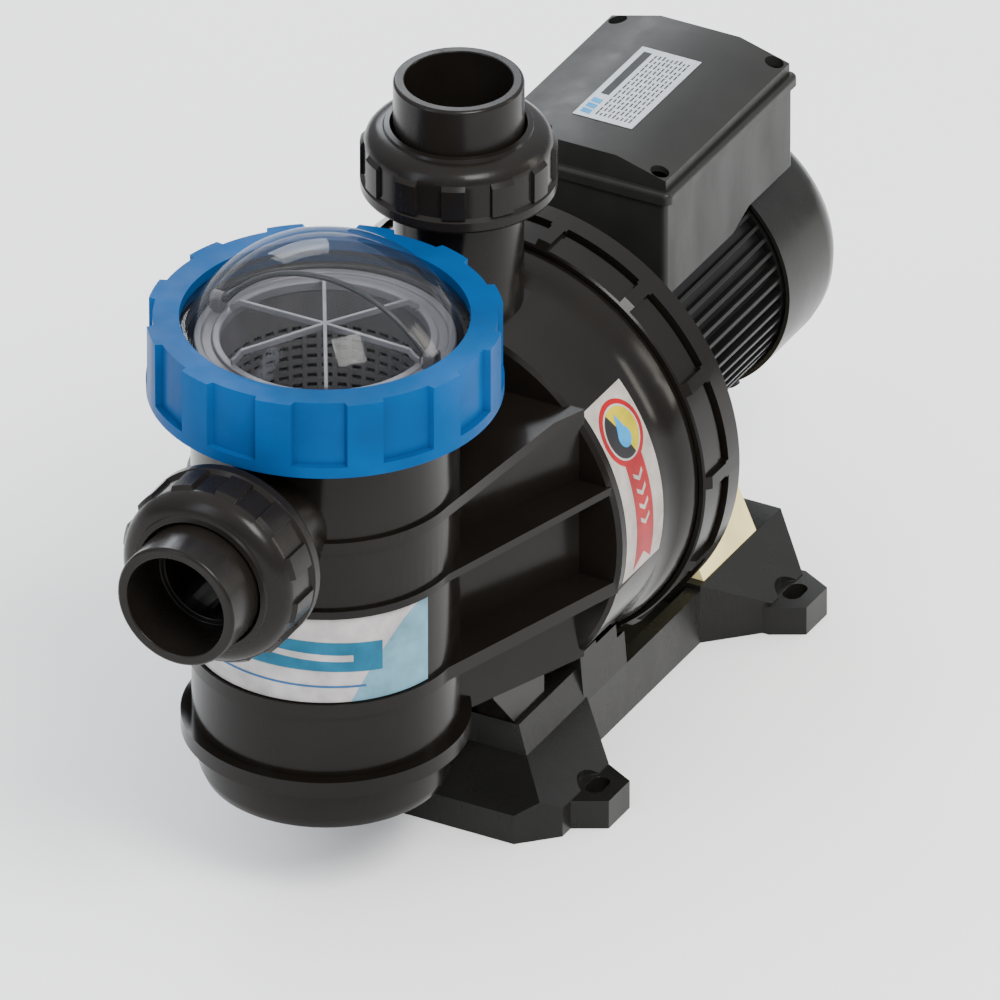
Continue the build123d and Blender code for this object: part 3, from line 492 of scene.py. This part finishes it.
def lock_ring():
    """Blue ring nut with twelve grip lobes."""
    low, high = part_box("lock_ring")
    outer = (high.x - low.x) / 2
    centre = Vector((pot.x, pot.y, 0))
    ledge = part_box("lid_dome")[0].z + RING_LEDGE

    def grip(angle, radius, height):
        if in_recess(angle, LOBES, LOBE_PHASE, LOBE_RECESS):
            radius -= RECESS_DEPTH
        return radius, height

    rows = [
        lambda a: (RING_BORE, low.z),
        lambda a: (outer, low.z),
        lambda a: (outer, low.z + RECESS_FLOOR),
        lambda a: grip(a, outer, low.z + RECESS_FLOOR + 0.05 * MM),
        lambda a: grip(a, outer, high.z),
        lambda a: (RING_LIP_RADIUS, high.z),
        lambda a: (RING_LIP_RADIUS, ledge),
        lambda a: (RING_BORE, ledge),
    ]
    columns = grip_columns(LOBES, LOBE_PHASE, LOBE_RECESS, 6)
    mesh = ring_mesh("lock_ring_looks", rows, columns, centre, UP)
    piece = show("lock_ring_looks", mesh, BLUE, "lock_ring", ("lock_ring",))
    rounded(piece, 1.1 * MM, 3, 30.0)


NUT_PADS = 12
NUT_RECESS = math.radians(15.5)
NUT_RECESS_DEPTH = 1.9 * MM
NUT_SKIRT = 7.0 * MM
NUT_CYLINDER = 24.0 * MM
NUT_BORE = 37.0 * MM
NUT_LIP = 31.2 * MM
NUT_LEDGE = 22.5 * MM


def union_nut(node, body, start, turn, phase):
    """Black union nut: padded grip, smooth rounded shoulder and a beaded lip."""
    low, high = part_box(node)
    outer = (high.y - low.y) / 2
    neck = outer - NUT_RECESS_DEPTH

    def grip(angle, height):
        return (neck if in_recess(angle, NUT_PADS, phase, NUT_RECESS) else outer), height

    rows = [
        lambda a: (NUT_BORE, 0),
        lambda a: (outer - 0.6 * MM, 0),
        lambda a: (outer, 1.2 * MM),
        lambda a: (outer, NUT_SKIRT - 1.6 * MM),
        lambda a: (neck, NUT_SKIRT),
        lambda a: grip(a, NUT_SKIRT + 0.1 * MM),
        lambda a: grip(a, NUT_CYLINDER - 2.0 * MM),
        lambda a: (neck, NUT_CYLINDER),
    ]
    for inward, rise in [(0.9, 2.6), (2.9, 5.0), (5.8, 6.7), (8.6, 7.3)]:
        rows.append(lambda a, i=inward, h=rise: (neck - i * MM, NUT_CYLINDER + h * MM))
    rows += [
        lambda a: (neck - 9.2 * MM, NUT_CYLINDER + 8.6 * MM),
        lambda a: (NUT_LIP + 0.6 * MM, NUT_CYLINDER + 9.0 * MM),
        lambda a: (NUT_LIP, NUT_CYLINDER + 8.4 * MM),
        lambda a: (NUT_LIP, NUT_LEDGE),
        lambda a: (NUT_BORE, NUT_LEDGE),
    ]
    columns = grip_columns(NUT_PADS, phase, NUT_RECESS, 6)
    mesh = ring_mesh(node + "_looks", rows, columns, start, turn)
    piece = show(node + "_looks", mesh, BLACK_FITTING, body, (node,))
    rounded(piece, 0.5 * MM, 2, 24.0)


# ---------------------------------------------------------------- lid


DOME_RADIUS = 69.5 * MM
DOME_WALL = 3.0 * MM
DOME_FLANGE = 5.5 * MM
DOME_STEPS = 26
DOME_TIP = 0.02 * MM


def dome():
    """Clear lid: flange and shallow dome, finely divided."""
    low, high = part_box("lid_dome")
    centre = Vector((pot.x, pot.y, 0))
    inner = DOME_RADIUS - DOME_WALL
    heart = high.z - DOME_RADIUS
    flange_top = low.z + DOME_FLANGE
    flange = (high.x - low.x) / 2
    outside = math.acos((flange_top - heart) / DOME_RADIUS)
    inside = math.acos((low.z - heart) / inner)
    profile = [(flange, low.z), (flange, flange_top)]
    for k in range(DOME_STEPS):
        angle = outside * (1 - k / DOME_STEPS)
        profile.append((DOME_RADIUS * math.sin(angle), heart + DOME_RADIUS * math.cos(angle)))
    profile += [(DOME_TIP, high.z), (DOME_TIP, high.z - DOME_WALL)]
    for k in range(1, DOME_STEPS + 1):
        angle = inside * k / DOME_STEPS
        profile.append((inner * math.sin(angle), heart + inner * math.cos(angle)))
    rows = [lambda a, p=p: p for p in profile]
    mesh = ring_mesh("lid_dome_looks", rows, even_columns(128), centre, UP)
    show("lid_dome_looks", mesh, CLEAR, "lid", ("lid_dome",))


# ---------------------------------------------------------------- basket

BASKET_COLUMNS = 44
BASKET_ROWS = 32
SLOT_WIDTH_SHARE = 0.70
SLOT_HEIGHT_SHARE = 0.56
BASKET_WALL = 1.8 * MM
BASKET_TOP_R = 50.5 * MM
BASKET_LOW_R = 45.0 * MM
BASKET_DEPTH = 184.0 * MM
BASKET_SLOTS = (6.0 * MM, 166.0 * MM)
INLET_HALF_TURN = 0.42
INLET_HALF_HEIGHT = 21.0 * MM


def basket():
    """Perforated basket: rows of small oblong holes right through the tapered wall and the floor."""
    centre = Vector((pot.x, pot.y, 0))
    floor_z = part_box("strainer_basket")[0].z
    rim_low = floor_z + BASKET_DEPTH
    first, last = floor_z + BASKET_SLOTS[0], floor_z + BASKET_SLOTS[1]
    pitch = (last - first) / BASKET_ROWS
    work = bmesh.new()

    def wall_point(turn, z):
        radius = BASKET_LOW_R + (BASKET_TOP_R - BASKET_LOW_R) * (z - floor_z) / (rim_low - floor_z)
        return centre + Vector((radius * math.cos(turn), radius * math.sin(turn), z))

    heights = [floor_z + 0.2 * MM, first]
    for k in range(BASKET_ROWS):
        z = first + k * pitch
        heights += [z + pitch * (1 - SLOT_HEIGHT_SHARE), z + pitch]
    heights.append(rim_low)
    turns = []
    step = math.tau / BASKET_COLUMNS
    for k in range(BASKET_COLUMNS):
        turns += [k * step, k * step + step * SLOT_WIDTH_SHARE]
    grid = [[work.verts.new(wall_point(turn, z)) for z in heights] for turn in turns]
    for i in range(len(turns)):
        after = grid[(i + 1) % len(turns)]
        for j in range(len(heights) - 1):
            slot_row = j >= 2 and j % 2 == 0 and j < len(heights) - 2
            beside_inlet = abs(turns[i] - math.pi) < INLET_HALF_TURN
            facing_inlet = beside_inlet and abs(heights[j] - suction.z) < INLET_HALF_HEIGHT
            if (slot_row and i % 2 == 0) or facing_inlet:
                continue
            work.faces.new((grid[i][j], after[j], after[j + 1], grid[i][j + 1]))
    mesh = mesh_from(work, "basket_wall")
    wall = show("basket_wall", mesh, BASKET, "basket", ("strainer_basket",))
    thick = wall.modifiers.new("wall", "SOLIDIFY")
    thick.thickness = BASKET_WALL
    thick.offset = -1.0
    basket_floor(centre, floor_z, BASKET_LOW_R)
    basket_rim(centre, rim_low)
    basket_spokes(centre, rim_low + 3.4 * MM)


def basket_floor(centre, z, radius):
    """Floor grille made of rings and radial bars."""
    columns = even_columns(96)
    for k in range(8):
        inner = 3.0 * MM + k * 5.6 * MM
        outer = min(inner + 3.0 * MM, radius)
        profile = [(inner, z), (outer, z), (outer, z + 2 * MM), (inner, z + 2 * MM)]
        name = f"basket_floor_ring_{k}"
        mesh = ring_mesh(name, [lambda a, p=p: p for p in profile], columns, centre, UP)
        show(name, mesh, BASKET, "basket")
    work = bmesh.new()
    for k in range(12):
        turn = Matrix.Rotation(k * math.tau / 12, 4, "Z")
        size = Matrix.Diagonal((radius - 2 * MM, 1.8 * MM, 1.9 * MM, 1))
        bar = Matrix.Translation(centre + Vector((0, 0, z + 1 * MM))) @ turn
        bar = bar @ Matrix.Translation((radius / 2, 0, 0)) @ size
        bmesh.ops.create_cube(work, size=1.0, matrix=bar)
    mesh = mesh_from(work, "basket_floor_bars")
    rounded(show("basket_floor_bars", mesh, BASKET, "basket"), 0.4 * MM)


def basket_rim(centre, z):
    """Flat grooved rim with its two handle ears."""
    groove = [(56.4, 5.0), (56.4, 3.4), (51.6, 3.4), (51.6, 5.0)]
    profile = [(48.0, 0.0), (60.0, 0.0), (60.0, 5.0), *groove, (48.0, 5.0)]
    rows = [lambda a, p=p: (p[0] * MM, z + p[1] * MM) for p in profile]
    mesh = ring_mesh("basket_rim", rows, even_columns(144), centre, UP)
    # The rim takes the lighter copy of the basket grey: painted light on its upward face.
    rounded(show("basket_rim", mesh, BASKET_PAINTED_LIT, "basket"), 0.6 * MM)
    basket_ear("left", -1, centre, z)
    basket_ear("right", 1, centre, z)


EAR_RADIUS = 3.5 * MM
EAR_BORE = 1.6 * MM
EAR_START = 52.5 * MM
EAR_WIDTH = 5.5 * MM


def basket_ear(label, side, centre, z):
    """Round-topped ear with a hole for the end of the handle."""
    hinge_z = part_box("basket_handle")[0].z + 1.4 * MM
    outline = [
        (EAR_RADIUS * math.cos(math.pi * k / 12), hinge_z + EAR_RADIUS * math.sin(math.pi * k / 12))
        for k in range(13)
    ]
    outline += [(-EAR_RADIUS, z + 4 * MM), (EAR_RADIUS, z + 4 * MM)]
    hole = [(EAR_BORE * math.cos(a), hinge_z + EAR_BORE * math.sin(a)) for a in even_columns(16)]
    work = bmesh.new()
    rims = []
    for points in (outline, hole):
        verts = [work.verts.new((centre.x + x, centre.y + side * EAR_START, h)) for x, h in points]
        rims += [work.edges.new((verts[k], verts[(k + 1) % len(verts)])) for k in range(len(verts))]
    bmesh.ops.triangle_fill(work, edges=rims, use_beauty=True)
    out = bmesh.ops.extrude_face_region(work, geom=list(work.faces))
    moved = [v for v in out["geom"] if isinstance(v, bmesh.types.BMVert)]
    bmesh.ops.translate(work, verts=moved, vec=(0, side * EAR_WIDTH, 0))
    bmesh.ops.recalc_face_normals(work, faces=work.faces)
    mesh = mesh_from(work, f"basket_ear_{label}")
    smooth(mesh)
    show(f"basket_ear_{label}", mesh, BASKET, "basket")


SPOKE_HALF = 0.9 * MM
SPOKE_PHASE = 29


def basket_spokes(centre, z):
    """Spider of six thin spokes that rise from the rim and meet over the middle of the basket.

    Their outer ends stay low, so that the swinging handle passes over them."""
    work = bmesh.new()
    upper = [(49.6, 0.0), (49.6, 3.8), (47.2, 5.0), (44.4, 7.6), (0.0, 8.4)]
    lower = [(0.0, 5.4), (43.4, 4.8), (45.8, 2.6), (47.4, 1.8), (47.4, 0.0)]
    for k in range(6):
        turn = Matrix.Rotation(math.radians(SPOKE_PHASE + 60 * k), 4, "Z")
        spot = Matrix.Translation(centre + Vector((0, 0, z))) @ turn
        first, second = (
            [spot @ Vector((x * MM, y, h * MM)) for x, h in upper + lower] for y in (-SPOKE_HALF, SPOKE_HALF)
        )
        prism(work, first, second)
    bmesh.ops.recalc_face_normals(work, faces=work.faces)
    mesh = mesh_from(work, "basket_spokes")
    # The spokes take the lighter copy of the basket grey: painted light on their upper edges.
    rounded(show("basket_spokes", mesh, BASKET_PAINTED_LIT, "basket"), 0.3 * MM)


# ---------------------------------------------------------------- printed labels


PRINT_HEIGHT = 0.08 * MM
PRINT_STEP = 2.5 * MM


def wrapped(name, outline, level, wrap, material, stands_for=()):
    """Thin patch cut from a flat outline and wrapped on a round part.

    The outline is in metres: along the part's axis, and round its surface. The level is in millimetres."""
    work = bmesh.new()
    work.faces.new([work.verts.new((x, y, 0)) for x, y in outline])
    top = max(p[1] for p in outline)
    bottom = min(p[1] for p in outline)
    for k in range(1, int((top - bottom) / PRINT_STEP) + 1):
        geometry = list(work.verts) + list(work.edges) + list(work.faces)
        cut = (0, bottom + k * PRINT_STEP, 0)
        bmesh.ops.bisect_plane(work, geom=geometry, plane_co=cut, plane_no=(0, 1, 0))
    bmesh.ops.triangulate(work, faces=[f for f in work.faces if len(f.verts) > 4])
    out = bmesh.ops.extrude_face_region(work, geom=list(work.faces))
    lifted = {v for v in out["geom"] if isinstance(v, bmesh.types.BMVert)}
    for v in work.verts:
        v.co = wrap(v.co.x, v.co.y, level * MM + (PRINT_HEIGHT if v in lifted else 0.0))
    bmesh.ops.recalc_face_normals(work, faces=work.faces)
    show(name, mesh_from(work, name), material, "housing", stands_for)


def disc_outline(x, y, radius):
    return [(x + radius * math.cos(a), y + radius * math.sin(a)) for a in even_columns(40)]


def panel_outline(half, reach):
    return [(-half, -reach), (half, -reach), (half, reach), (-half, reach)]


CASING_LABEL_R = 98.5 * MM
CASING_LABEL_TURN = math.radians(13.8)
CASING_LABEL_REACH = CASING_LABEL_R * math.radians(26.4)
BADGE_Y = CASING_LABEL_REACH - 19.5 * MM
BADGE_RADIUS = 12.4 * MM
DROP_RADIUS = 5.0 * MM


def casing_label():
    """Cream panel with a red ribbon and a round water-drop badge."""
    low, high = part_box("casing_label")
    centre_x = (low.x + high.x) / 2
    reach = CASING_LABEL_REACH
    heart = Vector((0, 0, shaft.z))

    def wrap(x, y, level):
        turn = CASING_LABEL_TURN + y / CASING_LABEL_R
        r = CASING_LABEL_R + level
        return heart + Vector((centre_x + x, -r * math.cos(turn), r * math.sin(turn)))

    panel = panel_outline((high.x - low.x) / 2, reach)
    wrapped("casing_label_panel", panel, 0.05, wrap, CREAM_INK, ("casing_label",))
    tail = [(-8.2 * MM, -reach + 2 * MM), (0, -reach + 9 * MM), (8.2 * MM, -reach + 2 * MM)]
    ribbon = [(-7.5 * MM, BADGE_Y), *tail, (7.5 * MM, BADGE_Y)]
    wrapped("casing_label_ribbon", ribbon, 0.14, wrap, RED_INK)
    disc = disc_outline(0, BADGE_Y, BADGE_RADIUS)
    wrapped("casing_label_ring", disc_outline(0, BADGE_Y, 16.0 * MM), 0.23, wrap, RED_INK)
    wrapped("casing_label_band", disc_outline(0, BADGE_Y, 13.4 * MM), 0.32, wrap, WHITE_INK)
    wrapped("casing_label_disc", disc, 0.41, wrap, YELLOW_INK)
    wrapped("casing_label_shade", shaded_side(disc), 0.50, wrap, BLACK_INK)
    drop = [(0, BADGE_Y + 9 * MM)]
    for k in range(-3, 20):
        angle = math.radians(20 - k * 12.0)
        drop.append((DROP_RADIUS * math.cos(angle), BADGE_Y - 2.5 * MM + DROP_RADIUS * math.sin(angle)))
    wrapped("casing_label_drop", drop, 0.59, wrap, SKY_INK)
    for k in range(4):
        y = BADGE_Y - 22 * MM - k * 7.5 * MM
        upper = [(4 * MM, y + 2.2 * MM), (0, y - 0.8 * MM), (-4 * MM, y + 2.2 * MM)]
        mark = [(-4 * MM, y), (0, y - 3 * MM), (4 * MM, y), *upper]
        wrapped(f"casing_label_chevron_{k}", mark, 0.23, wrap, CREAM_INK)


def shaded_side(disc):
    """Dark side of the badge: the part of the disc beyond a slanted line through its middle."""
    side = [p for p in disc if p[0] * 0.55 + (p[1] - BADGE_Y) * 0.2 <= 0.2 * MM]
    side.sort(key=lambda p: math.atan2(p[1] - BADGE_Y + 0.2 * p[0], -p[0]))
    return side


POT_LABEL_R = 61.6 * MM
POT_LABEL_REACH = POT_LABEL_R * math.radians(77.4)


def waved_strip(side_gaps, low, high):
    """Strip between two waved edges; each edge is (middle, swing, shift), in millimetres."""
    start = -POT_LABEL_REACH + side_gaps[0] * MM
    end = POT_LABEL_REACH - side_gaps[1] * MM
    edges = []
    for base, size, shift in (high, low):
        edges.append(
            [
                (base * MM + size * MM * math.sin(shift + 3.2 * k / 24), start + (end - start) * k / 24)
                for k in range(25)
            ]
        )
    return edges[0] + edges[1][::-1]


def pot_label():
    """White film round the pot with a teal band and pale sweeps, no lettering."""
    low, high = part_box("pot_label")
    mid_z = (low.z + high.z) / 2
    half = (high.z - low.z) / 2
    reach = POT_LABEL_REACH

    def wrap(along, around, level):
        turn = math.pi + around / POT_LABEL_R
        r = POT_LABEL_R + level
        return Vector((pot.x + r * math.cos(turn), pot.y + r * math.sin(turn), mid_z + along))

    wrapped("pot_label_panel", panel_outline(half, reach), 0.05, wrap, WHITE_INK, ("pot_label",))
    for side, name in ((1, "right"), (-1, "left")):
        sweep = [(-half, side * reach), (half, side * reach)]
        for k in range(13):
            share = k / 12
            sweep.append((half - 2 * half * share ** 1.6, side * (reach - 3 * MM - 38 * MM * share)))
        wrapped(f"pot_label_sweep_{name}", sweep, 0.14, wrap, MIST_INK)
    band = waved_strip((26, 26), (-7.0, 2.4, 0.1), (9.0, 2.4, 0.4))
    line = waved_strip((30, 34), (-14.3, 1.2, 0.6), (-13.2, 1.2, 0.6))
    crest = waved_strip((40, 40), (1.4, 2.6, 1.1), (4.0, 2.2, 0.8))
    wrapped("pot_label_band", band, 0.23, wrap, TEAL_INK)
    wrapped("pot_label_line", line, 0.23, wrap, NAVY_INK)
    wrapped("pot_label_crest", crest, 0.32, wrap, WHITE_INK)


def flat_print(name, outlines, z, material):
    """Raised ink on the name plate: every outline becomes a thin printed shape of one mesh."""
    work = bmesh.new()
    for outline in outlines:
        prism(work, [(x, y, z) for x, y in outline], [(x, y, z + PRINT_HEIGHT) for x, y in outline])
    bmesh.ops.recalc_face_normals(work, faces=work.faces)
    show(name, mesh_from(work, name), material, "box_lid")


def strip(x, y, width, height, slant=0.0):
    """Corners of a strip whose upper edge is moved along by the slant."""
    return [(x, y), (x + width, y), (x + width + slant, y + height), (x + slant, y + height)]


def name_plate():
    """Silver plate with a blue flash, a dark bar and rows of fine ruled lines."""
    low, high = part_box("name_plate")
    bar_y = high.y - 7.2 * MM
    flash = [strip(low.x + (2.5 + 5.2 * k) * MM, bar_y, 3.9 * MM, 5.2 * MM, 0.9 * MM) for k in range(3)]
    rules = [strip(low.x + 22 * MM, bar_y, high.x - low.x - 26 * MM, 4.2 * MM)]
    for k in range(9):
        y = high.y - (10.4 + k * 2.15) * MM
        for j in range(14):
            width = (3.7 - (k * 3 + j * 2) % 4 * 0.5) * MM
            rules.append(strip(low.x + (4 + j * 4.4) * MM, y, width, 0.75 * MM))
    flat_print("plate_flash", flash, high.z, SKY_INK)
    flat_print("plate_rules", rules, high.z, BLACK_INK)


# ---------------------------------------------------------------- everything else from the frame

REFINED = {
    "pump_body": (BLACK, 0.9),
    "casing_clamp_ring": (BLACK, 0.7),
    "base_support": (BASE, 0.9),
    "motor_pedestal": (PALE, 0.8),
    "suction_tailpiece": (BLACK_FITTING, 0.5),
    "discharge_tailpiece": (BLACK_FITTING, 0.5),
    "motor_frame": (MOTOR, 0.35),
    "fan_cover": (COVER, 0.5),
    "terminal_box": (BOX, 0.8),
    "terminal_box_lid": (BOX, 1.4),
    "drain_plug": (BLACK_FITTING, 0.5),
    "cable_gland": (BASE, 0.5),
    "name_plate": (PLATE, 0.1),
}

PLAIN = {
    "body_base_screws": STEEL,
    "casing_o_ring": RUBBER,
    "seal_plate": BLACK,
    "diffuser": WHEEL,
    "impeller": WHEEL,
    "impeller_nut": STEEL,
    "shaft_seal_seat": CERAMIC,
    "shaft_seal_head": CERAMIC,
    "shaft_seal_spring": STEEL,
    "lid_o_ring": RUBBER,
    "basket_handle": HANDLE,
    "suction_o_ring": RUBBER,
    "discharge_o_ring": RUBBER,
    "drain_o_ring": RUBBER,
    "motor_shaft": STEEL,
    "rotor_core": LAMINATED,
    "stator_core": LAMINATED,
    "stator_windings": COPPER,
    "front_bearing": STEEL,
    "rear_bearing": STEEL,
    "front_endshield": MOTOR,
    "rear_endshield": MOTOR,
    "motor_tie_rods": STEEL,
    "cooling_fan": BASE,
    "fan_cover_screws": BLACKENED,
    "terminal_box_gasket": RUBBER,
    "terminal_lid_screws": BLACKENED,
    "terminal_block": WHEEL,
    "start_capacitor": BASE,
}


def main():
    camera()
    floor()
    lights()
    for node, (material, width) in REFINED.items():
        refined(node, material, width * MM)
    for node, material in PLAIN.items():
        finish_node(node, material)
    lock_ring()
    suction_start = Vector((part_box("suction_union_nut")[1].x, suction.y, suction.z))
    discharge_start = Vector((discharge.x, discharge.y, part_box("discharge_union_nut")[0].z))
    union_nut("suction_union_nut", "suction_nut", suction_start, TO_MINUS_X, math.radians(4))
    union_nut("discharge_union_nut", "discharge_nut", discharge_start, UP, math.radians(10))
    dome()
    basket()
    casing_label()
    pot_label()
    name_plate()


main()
